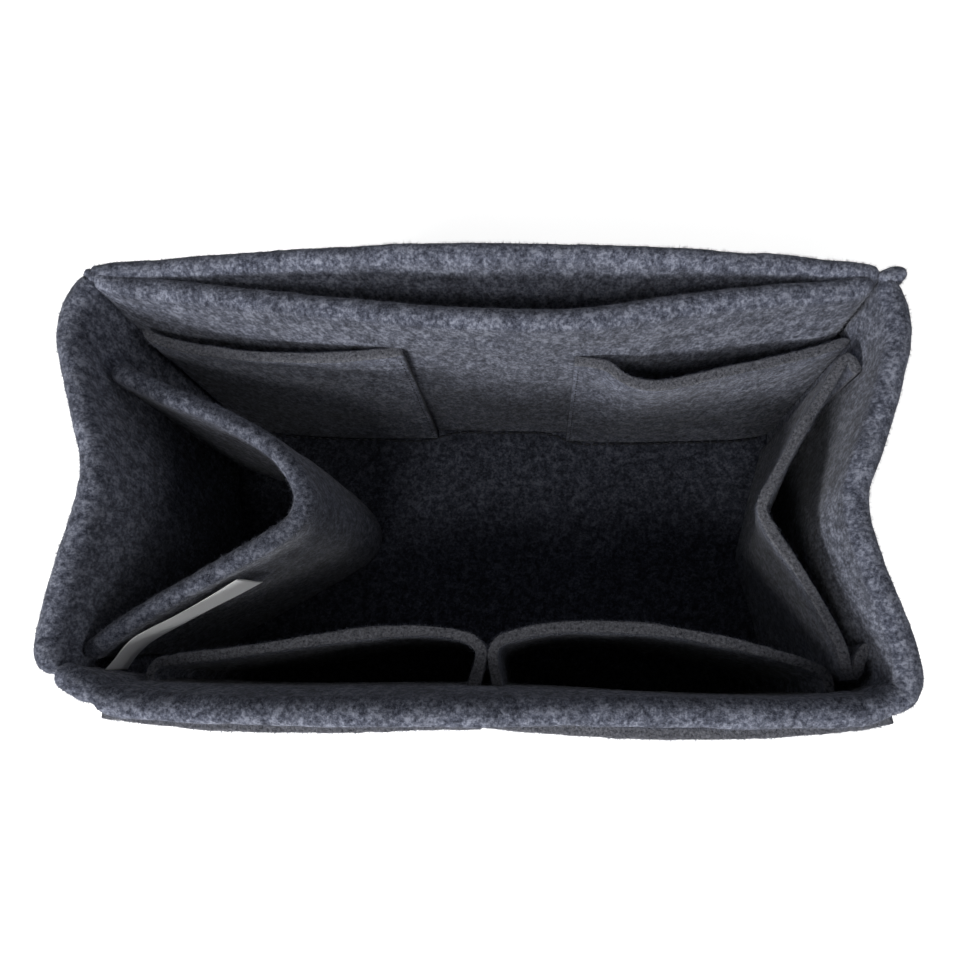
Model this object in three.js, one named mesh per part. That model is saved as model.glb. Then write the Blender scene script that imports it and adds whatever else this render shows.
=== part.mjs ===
// A purse organizer insert of felt: double walls with creased sides, two folded dividers and slip pockets.
// Millimetres. +X is right, +Y to the rear and +Z up. The origin is the middle of the base panel's underside.
import * as THREE from "three";

// Driving sizes of the felt and the box
const PLY = 3;
const CLEAR = 0.3;
const HEIGHT = 130;
const INSIDE_WIDTH = 202;
const INSIDE_DEPTH = 99;
const CORNER_MARGIN = 1.5;
const BASE_CORNER_RADIUS = 9;

// Driving sizes of the walls' soft shape
const REAR_BOW = 4;
const REAR_RIM_BOW = 3;
const FRONT_FLARE = 2.5;
const FLARE_HEIGHT = 25;
const LEFT_CREASE_DEPTH = 5;
const RIGHT_CREASE_DEPTH = 8;
const SIDE_BULGE = 1.5;

// Driving sizes of the dividers: seam's distance from the corner, reach of the fold from the side, height
const LEFT_DIVIDER_SEAM = 15;
const LEFT_DIVIDER_REACH = 51;
const LEFT_DIVIDER_TOP = 117;
const LEFT_DIVIDER_PLIES = 2;
const RIGHT_DIVIDER_SEAM = 13;
const RIGHT_DIVIDER_REACH = 26;
const RIGHT_DIVIDER_TOP = 111;
const RIGHT_DIVIDER_PLIES = 1;

// Driving sizes of the pockets
const REAR_OUTER_BULGE = 7.5;
const REAR_POCKET_INNER_EDGE = 24.5;
const REAR_POCKET_WIDTH = 65;
const REAR_POCKET_TOP = 107;
const REAR_LEFT_GAPE = 6.2;
const REAR_RIGHT_GAPE = 9;
const REAR_GAPE_FOOT_SHARE = 0.6;
const FRONT_SEAM_X = 2.5;
const FRONT_POCKET_TOP = 105;
const FRONT_POCKET_WIDTH = 90;
const FRONT_POCKET_DEPTH = 17;
const FRONT_POCKET_FOLD_DEPTH = 13;
const FRONT_POCKET_BELLY = 30;
const FRONT_POCKET_RETURN = 1;
const FRONT_OUTER_WIDTH = 97;
const FRONT_OUTER_TOP = 118;
const FRONT_OUTER_GAPE = 3;

// Driving sizes of the care label
const LABEL_LENGTH = 45;
const LABEL_HEIGHT = 22;
const LABEL_TOP = 113;
const LABEL_THICKNESS = 0.5;
const LABEL_SEAM = 3;
const LABEL_STAND_OFF_DEGREES = 5;

// Sizes that follow from them
const WALL = 2 * PLY;
const FOOT = PLY + CLEAR;
const HALF_WIDTH = INSIDE_WIDTH / 2;
const HALF_DEPTH = INSIDE_DEPTH / 2;
const WALL_REACH = HALF_WIDTH + WALL + CORNER_MARGIN;
const WALL_Y = HALF_DEPTH + CLEAR + WALL / 2;
const OUTER_POCKET_Y = WALL_Y + WALL / 2 + CLEAR + PLY / 2;
const BASE_HALF_DEPTH = OUTER_POCKET_Y + PLY / 2;

const LEFT = -1;
const RIGHT = 1;
const REAR = 1;
const FRONT = -1;

// How finely the soft shapes are drawn. The roundings are shares of half a turn, and the swell of a creased
// strip, share * (1 - share) squared, peaks at 4 / 27.
const ROUNDINGS = [0.17, 0.34, 0.48];
const SWELL_PEAK = 4 / 27;
const WALL_COLUMNS = 16;
const POCKET_COLUMNS = 12;
const BELLOWS_COLUMNS = 24;
const STRIP_COLUMNS = 6;
const FAN_COLUMNS = 3;
const WALL_RINGS = 4;
const FLARE_RINGS = 8;
const POCKET_RINGS = 3;
const CORNER_SEGMENTS = 6;

const WALL_COLOUR = 0x4a5462;
const POCKET_COLOUR = 0x434c59;
const DIVIDER_COLOUR = 0x465060;
const LABEL_COLOUR = 0xe9ecf0;

const group = new THREE.Group();
const hinges = {};
const v2 = (x, y) => new THREE.Vector2(x, y);
const felt = (color) => new THREE.MeshStandardMaterial({ color, roughness: 0.95, metalness: 0 });
const satin = (color) => new THREE.MeshStandardMaterial({ color, roughness: 0.45, metalness: 0 });

function addMesh(name, geometry, material) {
  const mesh = new THREE.Mesh(geometry, material);
  mesh.name = name;
  group.add(mesh);
}

// Rings of a panel from its foot to its top, each with the share of the thickness that it keeps there
function rings(foot, top, thickness, rounded, steps) {
  const radius = rounded ? thickness / 2 : 0;
  const list = [];
  for (let i = 0; i <= steps; i++) {
    list.push({ z: foot + ((top - radius - foot) * i) / steps, share: 1 });
  }
  for (const part of rounded ? ROUNDINGS : []) {
    const angle = part * Math.PI;
    list.push({ z: top - radius + radius * Math.sin(angle), share: Math.cos(angle) });
  }
  return list;
}

// A closed felt panel. Its columns stand along the plan, each with a place, a normal, half a thickness and
// a shift along the normal that may change with height. The rings join them, and foot, top and ends close.
function panel(columns, levels) {
  const points = [];
  for (const side of [1, -1]) {
    for (const { at, normal, half, shift } of columns) {
      for (const { z, share } of levels) {
        const place = at.clone().addScaledVector(normal, shift(z) + side * half * share);
        points.push(place.x, place.y, z);
      }
    }
  }
  const rows = levels.length;
  const last = columns.length - 1;
  const near = (column, row) => column * rows + row;
  const far = (column, row) => (columns.length + column) * rows + row;
  const faces = [];
  const quad = (a, b, c, d) => faces.push(a, b, c, a, c, d);
  for (let j = 0; j < last; j++) {
    for (let i = 0; i + 1 < rows; i++) {
      quad(near(j, i), near(j, i + 1), near(j + 1, i + 1), near(j + 1, i));
      quad(far(j, i), far(j + 1, i), far(j + 1, i + 1), far(j, i + 1));
    }
    quad(near(j, 0), near(j + 1, 0), far(j + 1, 0), far(j, 0));
    quad(near(j, rows - 1), far(j, rows - 1), far(j + 1, rows - 1), near(j + 1, rows - 1));
  }
  for (let i = 0; i + 1 < rows; i++) {
    quad(near(0, i), far(0, i), far(0, i + 1), near(0, i + 1));
    quad(near(last, i), near(last, i + 1), far(last, i + 1), far(last, i));
  }
  const geometry = new THREE.BufferGeometry();
  geometry.setAttribute("position", new THREE.Float32BufferAttribute(points, 3));
  geometry.setIndex(faces);
  return geometry;
}

// Columns along a line from left to right. The shift is a function of the place along it and the height.
function widthColumns(left, right, y, thickness, count, shift) {
  const columns = [];
  for (let j = 0; j <= count; j++) {
    const share = j / count;
    const at = v2(THREE.MathUtils.lerp(left, right, share), y);
    columns.push({ at, normal: v2(0, 1), half: thickness / 2, shift: (z) => shift(share, z, at.x) });
  }
  return columns;
}

// The same columns with both ends rounded in plan, like the folded edge of a double wall
function withRoundEnds(columns) {
  const cap = (column, way) =>
    [0, ...ROUNDINGS].map((part) => {
      const angle = part * Math.PI;
      const at = v2(column.at.x + way * column.half * (Math.sin(angle) - 1), column.at.y);
      return { ...column, at, half: column.half * Math.cos(angle) };
    });
  const start = cap(columns[0], LEFT).reverse();
  const end = cap(columns.at(-1), RIGHT);
  return [...start, ...columns.slice(1, -1), ...end];
}

// How far the rear wall bows into the box at a place along its width and a height
function rearBow(x, z) {
  const across = Math.cos(((Math.PI / 2) * x) / WALL_REACH) ** 2;
  return across * (REAR_BOW + REAR_RIM_BOW * ((z - FOOT) / (HEIGHT - FOOT)) ** 3);
}

// How far the front wall's rim flares out at a height
function frontFlare(z) {
  return FRONT_FLARE * Math.max(0, (z - HEIGHT + FLARE_HEIGHT) / FLARE_HEIGHT) ** 2;
}

function basePanel() {
  const right = WALL_REACH - BASE_CORNER_RADIUS;
  const rear = BASE_HALF_DEPTH - BASE_CORNER_RADIUS;
  const outline = new THREE.Shape();
  outline.absarc(right, -rear, BASE_CORNER_RADIUS, -Math.PI / 2, 0);
  outline.absarc(right, rear, BASE_CORNER_RADIUS, 0, Math.PI / 2);
  outline.absarc(-right, rear, BASE_CORNER_RADIUS, Math.PI / 2, Math.PI);
  outline.absarc(-right, -rear, BASE_CORNER_RADIUS, Math.PI, 1.5 * Math.PI);
  const sheet = { depth: PLY, bevelEnabled: false, curveSegments: CORNER_SEGMENTS };
  addMesh("base_panel", new THREE.ExtrudeGeometry(outline, sheet), felt(WALL_COLOUR));
}

function rearWall() {
  const bow = (share, z, x) => -rearBow(x, z);
  const columns = withRoundEnds(widthColumns(-WALL_REACH, WALL_REACH, WALL_Y, WALL, WALL_COLUMNS, bow));
  const levels = rings(FOOT, HEIGHT, WALL, true, WALL_RINGS);
  addMesh("rear_wall", panel(columns, levels), felt(WALL_COLOUR));
}

function rearOuterPocket() {
  const bulge = (share, z) => REAR_OUTER_BULGE * Math.sin(Math.PI * share) ** 2 * (z / HEIGHT);
  const columns = widthColumns(-WALL_REACH, WALL_REACH, OUTER_POCKET_Y, PLY, WALL_COLUMNS, bulge);
  const levels = rings(FOOT, HEIGHT, PLY, true, POCKET_RINGS);
  addMesh("rear_outer_pocket", panel(columns, levels), felt(POCKET_COLOUR));
}

// A pocket sewn on the rear wall's inner face, gaping most at the middle of its mouth
function rearInnerPocket(name, side, gape) {
  const middle = side * (REAR_POCKET_INNER_EDGE + REAR_POCKET_WIDTH / 2);
  const left = middle - REAR_POCKET_WIDTH / 2;
  const right = middle + REAR_POCKET_WIDTH / 2;
  const swell = (share, z, x) => {
    const rise = (z - FOOT) / (REAR_POCKET_TOP - FOOT);
    const open = THREE.MathUtils.lerp(REAR_GAPE_FOOT_SHARE, 1, rise);
    return -rearBow(x, z) - gape * Math.sin(Math.PI * share) * open;
  };
  const columns = widthColumns(left, right, HALF_DEPTH - PLY / 2, PLY, POCKET_COLUMNS, swell);
  const levels = rings(FOOT, REAR_POCKET_TOP, PLY, false, POCKET_RINGS);
  addMesh(name, panel(columns, levels), felt(POCKET_COLOUR));
}

function frontWall() {
  const flare = (share, z) => -frontFlare(z);
  const columns = withRoundEnds(widthColumns(-WALL_REACH, WALL_REACH, -WALL_Y, WALL, 2, flare));
  const levels = rings(FOOT, HEIGHT, WALL, true, FLARE_RINGS);
  addMesh("front_wall", panel(columns, levels), felt(WALL_COLOUR));
}

// A slip pocket on the front wall's outer face, sewn at its foot, its outer edge and the centre seam
function frontOuterPocket(name, side) {
  const ends = [FRONT_SEAM_X + side * CLEAR, FRONT_SEAM_X + side * FRONT_OUTER_WIDTH];
  const swell = (share, z) => {
    const open = (z - FOOT) / (FRONT_OUTER_TOP - FOOT);
    return -frontFlare(z) - FRONT_OUTER_GAPE * Math.sin(Math.PI * share) * open;
  };
  const left = Math.min(...ends);
  const right = Math.max(...ends);
  const columns = widthColumns(left, right, -OUTER_POCKET_Y, PLY, POCKET_COLUMNS, swell);
  const levels = rings(FOOT, FRONT_OUTER_TOP, PLY, false, FLARE_RINGS);
  addMesh(name, panel(columns, levels), felt(POCKET_COLOUR));
}

// A bellows pocket on the front wall's inner face: it leaves the wall beside the centre seam, turns,
// swells to its belly and comes back to the wall at its outer edge
function frontInnerPocket(name, side) {
  const first = FRONT_POCKET_RETURN + PLY / 2;
  const deepest = FRONT_POCKET_DEPTH - PLY / 2;
  const route = [
    v2(first, 0),
    v2(first, FRONT_POCKET_FOLD_DEPTH / 2),
    v2(first + PLY / 3, FRONT_POCKET_FOLD_DEPTH - PLY),
    v2(first + 2 * PLY, FRONT_POCKET_FOLD_DEPTH),
    v2(FRONT_POCKET_BELLY, deepest),
    v2((FRONT_POCKET_BELLY + FRONT_POCKET_WIDTH) / 2, (2 * deepest) / 3),
    v2(FRONT_POCKET_WIDTH, PLY / 2),
  ];
  const curve = new THREE.SplineCurve(route.map((p) => v2(FRONT_SEAM_X + side * p.x, p.y - HALF_DEPTH)));
  const columns = [];
  for (let j = 0; j <= BELLOWS_COLUMNS; j++) {
    const share = j / BELLOWS_COLUMNS;
    const along = j ? curve.getTangentAt(share) : v2(0, 1);
    const normal = v2(-along.y, along.x);
    columns.push({ at: curve.getPointAt(share), normal, half: PLY / 2, shift: () => 0 });
  }
  const levels = rings(FOOT, FRONT_POCKET_TOP, PLY, false, 1);
  addMesh(name, panel(columns, levels), felt(POCKET_COLOUR));
}

// How far a creased strip bellies out at a share of its length from its sewn end
function creaseSwell(share, bulge) {
  return (bulge * share * (1 - share) ** 2) / SWELL_PEAK;
}

// One half of a creased strip. It runs from its sewn end to the crease line, with its hollow face just off
// that line, and turns a fan of columns about the crease, so that the two halves close on the middle plane.
function leaf(name, { start, crease, out, thickness, top, rounded, bulge, colour }) {
  const end = v2(crease.x, crease.y + Math.sign(start.y) * (CLEAR / 2));
  const along = end.clone().sub(start).normalize();
  const normal = v2(along.y, -along.x);
  if (normal.dot(out) < 0) {
    normal.negate();
  }
  const off = CLEAR + thickness / 2;
  const place = (point, way) => point.clone().addScaledVector(way, off);
  const columns = [];
  for (let j = 0; j <= STRIP_COLUMNS; j++) {
    const share = j / STRIP_COLUMNS;
    const at = place(start.clone().lerp(end, share), normal);
    columns.push({ at, normal, half: thickness / 2, shift: () => -creaseSwell(share, bulge) });
  }
  for (let j = 1; j <= FAN_COLUMNS; j++) {
    const way = normal.clone().lerp(out, j / FAN_COLUMNS).normalize();
    columns.push({ at: place(end, way), normal: way, half: thickness / 2, shift: () => 0 });
  }
  if (normal.cross(along) > 0) {
    columns.reverse();
  }
  addMesh(name, panel(columns, rings(FOOT, top, thickness, rounded, POCKET_RINGS)), felt(colour));
  return { start, along, normal, length: end.distanceTo(start) };
}

// One half of a side wall. Its rear or front end meets the inner face of the wall there.
function sideHalf(name, side, end, creaseDepth) {
  const lean = Math.atan2(creaseDepth, HALF_DEPTH);
  const inset = (WALL + CLEAR) * Math.sin(lean);
  const start = v2(side * (HALF_WIDTH + WALL), end * (HALF_DEPTH - inset));
  const crease = v2(side * (HALF_WIDTH + WALL - creaseDepth), 0);
  const half = leaf(name, {
    start,
    crease,
    out: v2(-side, 0),
    thickness: WALL,
    top: HEIGHT,
    rounded: true,
    bulge: SIDE_BULGE,
    colour: WALL_COLOUR,
  });
  const corner = start.clone().addScaledVector(half.normal, WALL + CLEAR);
  hinges[name] = { end: corner, crease };
  return { ...half, corner };
}

// One half of a divider. Its sewn end stands on the inner face of a side wall's half.
function dividerHalf(name, side, wall, { seam, reach, top, plies }) {
  const swell = creaseSwell(seam / wall.length, SIDE_BULGE);
  const start = wall.corner.clone().addScaledVector(wall.along, seam);
  start.addScaledVector(wall.normal, CLEAR - swell);
  const crease = v2(side * (HALF_WIDTH - reach), 0);
  const half = leaf(name, {
    start,
    crease,
    out: v2(-side, 0),
    thickness: plies * PLY,
    top,
    rounded: plies > 1,
    bulge: 0,
    colour: DIVIDER_COLOUR,
  });
  hinges[name] = { end: start, crease };
  return half;
}

// The care label, sewn by one short end to the face of the left divider's front half
function careLabel(divider) {
  const face = LEFT_DIVIDER_PLIES * PLY + 2 * CLEAR + LABEL_THICKNESS / 2;
  const sewn = divider.start.clone().addScaledVector(divider.along, LABEL_SEAM);
  sewn.addScaledVector(divider.normal, face);
  const turn = THREE.MathUtils.degToRad(-LABEL_STAND_OFF_DEGREES);
  const along = divider.along.clone().rotateAround(v2(0, 0), turn);
  const normal = v2(-along.y, along.x);
  const columns = [0, 1].map((share) => {
    const at = sewn.clone().addScaledVector(along, share * LABEL_LENGTH);
    return { at, normal, half: LABEL_THICKNESS / 2, shift: () => 0 };
  });
  const levels = rings(LABEL_TOP - LABEL_HEIGHT, LABEL_TOP, LABEL_THICKNESS, false, 1);
  addMesh("care_label", panel(columns, levels), satin(LABEL_COLOUR));
  hinges.care_label = { end: sewn };
}

const leftDivider = {
  seam: LEFT_DIVIDER_SEAM,
  reach: LEFT_DIVIDER_REACH,
  top: LEFT_DIVIDER_TOP,
  plies: LEFT_DIVIDER_PLIES,
};
const rightDivider = {
  seam: RIGHT_DIVIDER_SEAM,
  reach: RIGHT_DIVIDER_REACH,
  top: RIGHT_DIVIDER_TOP,
  plies: RIGHT_DIVIDER_PLIES,
};

basePanel();
rearWall();
rearOuterPocket();
rearInnerPocket("rear_left_inner_pocket", LEFT, REAR_LEFT_GAPE);
rearInnerPocket("rear_right_inner_pocket", RIGHT, REAR_RIGHT_GAPE);
frontWall();
frontOuterPocket("front_left_outer_pocket", LEFT);
frontOuterPocket("front_right_outer_pocket", RIGHT);
frontInnerPocket("front_left_inner_pocket", LEFT);
frontInnerPocket("front_right_inner_pocket", RIGHT);
const leftRear = sideHalf("left_side_rear_half", LEFT, REAR, LEFT_CREASE_DEPTH);
const leftFront = sideHalf("left_side_front_half", LEFT, FRONT, LEFT_CREASE_DEPTH);
const rightRear = sideHalf("right_side_rear_half", RIGHT, REAR, RIGHT_CREASE_DEPTH);
const rightFront = sideHalf("right_side_front_half", RIGHT, FRONT, RIGHT_CREASE_DEPTH);
dividerHalf("left_divider_rear_half", LEFT, leftRear, leftDivider);
const labelDivider = dividerHalf("left_divider_front_half", LEFT, leftFront, leftDivider);
dividerHalf("right_divider_rear_half", RIGHT, rightRear, rightDivider);
dividerHalf("right_divider_front_half", RIGHT, rightFront, rightDivider);
careLabel(labelDivider);

// The plan points of the hinge lines, all upright: each half's sewn end and its crease
group.userData.hinges = hinges;

export default group;
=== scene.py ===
"""A purse organizer insert of dark heather felt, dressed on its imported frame.

The frame is in metres. Shapes below are written in millimetres, and the function piece turns them to metres.
"""
import math

import bpy
import numpy as np
from bpy.props import FloatProperty, FloatVectorProperty, PointerProperty
from mathutils import Matrix, Vector


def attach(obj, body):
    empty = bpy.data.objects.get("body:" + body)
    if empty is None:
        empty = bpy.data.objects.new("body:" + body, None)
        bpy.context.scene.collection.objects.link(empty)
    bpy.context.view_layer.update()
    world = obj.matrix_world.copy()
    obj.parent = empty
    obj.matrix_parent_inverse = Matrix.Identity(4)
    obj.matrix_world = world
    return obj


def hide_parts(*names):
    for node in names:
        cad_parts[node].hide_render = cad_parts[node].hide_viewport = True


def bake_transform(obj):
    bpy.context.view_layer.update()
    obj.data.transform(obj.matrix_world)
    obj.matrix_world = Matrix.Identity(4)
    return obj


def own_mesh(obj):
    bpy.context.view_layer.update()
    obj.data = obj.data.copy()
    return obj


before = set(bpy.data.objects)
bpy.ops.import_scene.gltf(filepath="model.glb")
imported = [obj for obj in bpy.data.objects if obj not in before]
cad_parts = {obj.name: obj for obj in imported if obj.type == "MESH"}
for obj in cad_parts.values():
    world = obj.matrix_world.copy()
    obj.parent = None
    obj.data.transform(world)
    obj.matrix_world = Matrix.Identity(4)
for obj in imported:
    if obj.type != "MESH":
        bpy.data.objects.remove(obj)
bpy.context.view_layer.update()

bl_info = {
    "name": "Felt purse organizer",
    "version": (1, 0, 0),
    "blender": (4, 5, 0),
    "location": "View3D > Sidebar > Organizer",
    "description": "Dresses the packed purse organizer insert in felt",
    "category": "Object",
}

MM = 0.001

# Bodies of the frame
ROOT = "rear_and_base"
FRONT = "front"

# Sizes that repeat those of the solids, in millimetres
PLY = 3.0
FOOT = 3.3
HEIGHT = 130.0
BASE_HALF = (108.5, 59.1)
BASE_CORNER = 9.0
REAR_POCKET_TOP = 107.0
FRONT_POCKET_TOP = 105.0
FRONT_OUTER_TOP = 118.0
LEFT_DIVIDER_TOP = 117.0
RIGHT_DIVIDER_TOP = 111.0
LABEL_TOP = 113.0
LABEL_HEIGHT = 22.0

# The right rear pocket's mouth sags a little lower than the left one's.
RIGHT_POCKET_TOP = 103.5


# Settings


def linear(code):
    """An sRGB hex colour as linear red, green, blue and alpha."""
    shares = [int(code[i : i + 2], 16) / 255 for i in (1, 3, 5)]
    return [s / 12.92 if s <= 0.04045 else ((s + 0.055) / 1.055) ** 2.4 for s in shares] + [1.0]


def colour(name, description, code):
    """A colour setting whose default is an sRGB hex code."""
    default = linear(code)
    return FloatVectorProperty(name=name, description=description, subtype="COLOR", size=4, default=default)


class FeltSettings(bpy.types.PropertyGroup):
    """Sizes and colours of the felt, the label and the thread."""

    step: FloatProperty(name="Grid step", description="Step of the grid, in mm", default=1.3, min=0.6)
    lumps: FloatProperty(name="Lumps", description="Height of the soft unevenness, in mm", default=0.35)
    tufts: FloatProperty(name="Tufts", description="Height of the tufts of fibre, in mm", default=0.16)
    shade: colour("Dark fibres", "Colour of the dark fibres", "#373a46")
    body: colour("Main fibres", "Colour of most fibres", "#636776")
    light: colour("Pale fibres", "Colour of the pale fibres", "#999dac")
    cut_dark: colour("Cut edge, dark", "Darkest colour of a raw cut edge", "#34353a")
    cut_pale: colour("Cut edge, pale", "Palest colour of a raw cut edge", "#8e8f96")
    speckle: FloatProperty(name="Speckle", description="Width of one speckle, in mm", default=0.9)
    satin: colour("Label", "Colour of the care label", "#f6f7f9")
    thread: colour("Thread", "Colour of the sewing thread", "#26282e")
    thread_width: FloatProperty(name="Thread width", description="Width of the thread, in mm", default=0.45)
    stitch: FloatProperty(name="Stitch", description="Length of one stitch, in mm", default=3.0, min=1.0)
    fuzz: FloatProperty(name="Fuzz", description="Fibres on a square mm near a rim", default=2.6, min=0.1)
    fuzz_band: FloatProperty(name="Fuzz band", description="Depth of fuzz below a rim, in mm", default=4.5)
    fibre: FloatProperty(name="Fibre", description="Length of the longest loose fibre, in mm", default=1.3)
    fibre_width: FloatProperty(name="Fibre width", description="Width of a tuft's base, in mm", default=0.15)


class StageSettings(bpy.types.PropertyGroup):
    """The floor, the lamps and the camera."""

    floor: colour("Floor", "Colour of the floor", "#f4f4f4")
    key: FloatProperty(name="Key lamp", description="Power of the key lamp", default=10.8, unit="POWER")
    fill: FloatProperty(name="Fill lamp", description="Power of the fill lamp", default=1.4, unit="POWER")
    high: FloatProperty(name="High lamp", description="Power of the high lamp", default=3.4, unit="POWER")
    ring: FloatProperty(name="Ring", description="Strength of soft light from low all round", default=0.29)
    rear: FloatProperty(name="Rear", description="Share of that light from behind", default=0.45)
    zenith: FloatProperty(name="Zenith", description="Share of that light from overhead", default=0.28)
    lens: FloatProperty(name="Lens", description="Focal length, in mm on a 36 mm sensor", default=37.08)


# Lines and noise


def walked(line):
    """The length walked along a line of points, up to each of them."""
    return np.r_[0, np.cumsum(np.linalg.norm(np.diff(line, axis=0), axis=1))]


def even_steps(line, count, endpoint=True):
    """Points at equal steps of the length walked along a line of points."""
    run = walked(line)
    even = np.linspace(0, run[-1], count, endpoint=endpoint)
    return np.stack([np.interp(even, run, line[:, i]) for i in range(line.shape[1])], axis=1)


def smooth_line(points, count):
    """A smooth plan line through points: between each two a cubic whose end slopes come from their
    neighbours, drawn with ten times the points and then walked in equal steps of its length."""
    p = np.asarray(points, float)
    chord = walked(p)
    slope = np.gradient(p, chord, axis=0)
    fine = np.linspace(0, chord[-1], 10 * count)
    k = np.clip(np.searchsorted(chord, fine, side="right") - 1, 0, len(p) - 2)
    span = (chord[k + 1] - chord[k])[:, None]
    t = (fine - chord[k])[:, None] / span
    line = (2 * t**3 - 3 * t**2 + 1) * p[k] + (t**3 - 2 * t**2 + t) * span * slope[k]
    line = line + (3 * t**2 - 2 * t**3) * p[k + 1] + (t**3 - t**2) * span * slope[k + 1]
    return even_steps(line, count)


def soft_noise(points, cell, seed):
    """Noise from -1 to 1 at points: random values at the corners of cells, with smooth steps between them. A
    corner's value is found in a table by three large primes, one for each axis."""
    size = 4096
    primes = np.array((73856093, 19349663, 83492791))
    table = np.random.default_rng(seed).uniform(-1, 1, size)
    q = points / cell
    base = np.floor(q).astype(np.int64)
    f = q - base
    f = f * f * (3 - 2 * f)
    total = 0
    for corner in np.ndindex(2, 2, 2):
        key = np.bitwise_xor.reduce((base + np.array(corner)) * primes, axis=-1)
        weight = np.prod(np.where(corner, f, 1 - f), axis=-1)
        total = total + weight * table[key & (size - 1)]
    return total


def grid_normals(p):
    """Outward directions of a grid of points: the cross product of its ways, the second one closed round."""
    along = np.gradient(p, axis=0)
    around = np.roll(p, -1, axis=1) - np.roll(p, 1, axis=1)
    n = np.cross(around, along)
    return n / np.maximum(np.linalg.norm(n, axis=-1, keepdims=True), 1e-9)


# Felt panels

LEAST_COLUMNS = 12
LEAST_ROWS = 6
# Rows of a panel stand further apart than its columns by this share.
ROW_STEP = 1.4
# Widths of the felt's lumps and tufts, in mm
LUMP_WIDTH = 11.0
TUFT_WIDTH = 2.4
# The largest rounding of a cut edge, in mm, and as a share of half the thickness
BEVEL = 0.45
BEVEL_SHARE = 0.4
# Where a panel gets thin, its rim keeps this share more of its rounding than of its thickness.
RIM_KEEP = 0.15
# The share of the height at a panel's foot that noise leaves alone
PLAIN_FOOT = 0.02


def rim_profile(rows, half, rounded):
    """The cross-section of a standing panel, from the foot of one face over the top to the foot of the
    other: the side from 1 to -1, the share of the height, the lift above it in mm, whether it is a cut
    edge, and the height that the top's rounding takes up. A folded rim is a half circle, and a cut one is
    flat with rounded edges."""
    face = np.linspace(0, 1, rows)
    # Points over a folded rim, round the edge of a cut one and across it, each with its two ends
    fold, corner, across = 12, 4, 6
    if rounded:
        radius = half
        turn = np.linspace(0, math.pi, fold)[1:-1]
        side, lift = np.cos(turn), half * np.sin(turn)
    else:
        radius = min(BEVEL, BEVEL_SHARE * half)
        turn = np.linspace(0, math.pi / 2, corner)[1:]
        edge = 1 - radius / half * (1 - np.cos(turn))
        flat = np.linspace(edge[-1], -edge[-1], across)[1:-1]
        side = np.r_[edge, flat, -edge[::-1]]
        lift = np.r_[radius * np.sin(turn), np.full(len(flat), radius), radius * np.sin(turn[::-1])]
    none = np.zeros(rows)
    return (
        np.r_[np.ones(rows), side, -np.ones(rows)],
        np.r_[face, np.ones(len(side)), face[::-1]],
        np.r_[none, lift, none],
        np.r_[none, np.full(len(side), not rounded), none].astype(bool),
        radius,
    )


def standing_panel(rim, foot, top, half, rounded=True, power=1.0, ends=(0, 0), thin=(0.1, 0.1), puff=0.0,
                   crown=0.0, pinch=(), seed=1):
    """A standing felt panel as a grid: its middle line goes from the foot line to the rim line with the
    height raised to a power, and the cross-section is carried along it, square to the line. The thickness
    swells by the puff as a squared sine of the height, and by the crown with the square of the height.
    Towards an end it falls off as a quarter circle of the given length, and at a pinch, given by its
    distance along the rim, width and depth, as a bell curve. Then noise roughens it above its foot."""
    felt = bpy.context.scene.organizer_felt
    length = walked(np.asarray(rim, float))[-1]
    columns = max(LEAST_COLUMNS, round(length / felt.step))
    rows = max(LEAST_ROWS, round((top - FOOT) / (ROW_STEP * felt.step)))
    side, share, lift, cut, radius = rim_profile(rows, half, rounded)
    lift, radius = lift * (1 + crown), radius * (1 + crown)
    rim_line, foot_line = smooth_line(rim, columns), smooth_line(foot, columns)
    run = np.linspace(0, length, columns)
    taper = np.ones(columns)
    for end, least, distance in zip(ends, thin, (run, length - run)):
        if end > 0:
            k = np.clip(distance / end, 0, 1)
            taper = taper * (least + (1 - least) * np.sqrt(1 - (1 - k) ** 2))
    for where, width, depth in pinch:
        taper = taper * (1 - depth * np.exp(-(((run - where) / width) ** 2)))
    z = FOOT + share * (top - radius - FOOT) + lift * np.minimum(taper[:, None] + RIM_KEEP, 1)
    blend = np.clip((z - FOOT) / (top - FOOT), 0, 1)[..., None] ** power
    middle = foot_line[:, None] * (1 - blend) + rim_line[:, None] * blend
    along = np.gradient(middle, axis=0)
    along /= np.linalg.norm(along, axis=-1, keepdims=True)
    normal = np.stack([-along[..., 1], along[..., 0]], axis=-1)
    swell = 1 + puff * np.sin(math.pi * share) ** 2 + crown * share**2
    place = middle + normal * (side * half * taper[:, None] * swell)[..., None]
    p = np.concatenate([place, z[..., None]], axis=-1)
    bumps = felt.lumps * soft_noise(p, LUMP_WIDTH, seed) + felt.tufts * soft_noise(p, TUFT_WIDTH, seed + 1)
    bumps = np.where(share[None] < PLAIN_FOOT, 0, bumps)
    return p + grid_normals(p) * bumps[..., None], cut


def panel_faces(columns, around, cut=None):
    """Quads of a grid whose second way is closed round, and of the two ends, with the cut ones marked."""
    if cut is None:
        cut = np.zeros(around, bool)
    i, k = np.meshgrid(np.arange(columns - 1), np.arange(around), indexing="ij")
    n = (k + 1) % around
    near, far = i * around, (i + 1) * around
    body = np.stack([near + k, far + k, far + n, near + n], axis=-1).reshape(-1, 4)
    marked = (cut[k] | cut[n]).reshape(-1)
    half = np.arange(around // 2 - 1)
    first = np.stack([half, half + 1, around - 2 - half, around - 1 - half], axis=-1)
    last = first[:, ::-1] + (columns - 1) * around
    return np.r_[body, first, last], np.r_[marked, np.full(len(first) * 2, cut.any())]


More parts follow.
